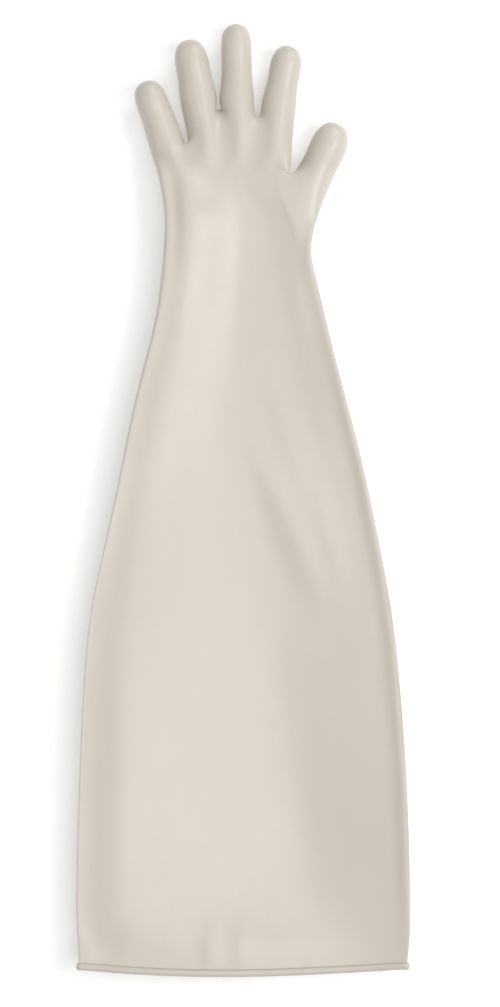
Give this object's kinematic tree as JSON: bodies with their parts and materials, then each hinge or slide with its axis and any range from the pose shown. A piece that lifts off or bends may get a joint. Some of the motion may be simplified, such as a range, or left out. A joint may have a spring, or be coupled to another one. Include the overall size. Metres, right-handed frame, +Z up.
{
  "type": "glove-box glove",
  "caption": "Long-sleeved dipped rubber glove with five spread fingers, a sleeve that widens to an open cuff, and a thick rolled bead at the cuff.",
  "frame": {"origin": "on the surface that the glove lies on, under the middle of its outline", "axes": "+X towards the thumb's side, +Y from the cuff to the fingertips, +Z up out of the palm"},
  "size_m": [0.2832, 0.8131, 0.0428],
  "materials": {
    "rubber_skin": "soft satin off-white dipped rubber, seamless",
    "rubber_bead": "soft satin off-white rubber, rolled"
  },
  "bodies": {
    "root": {"glove_skin": "rubber_skin", "cuff_bead": "rubber_bead"}
  },
  "joints": []
}
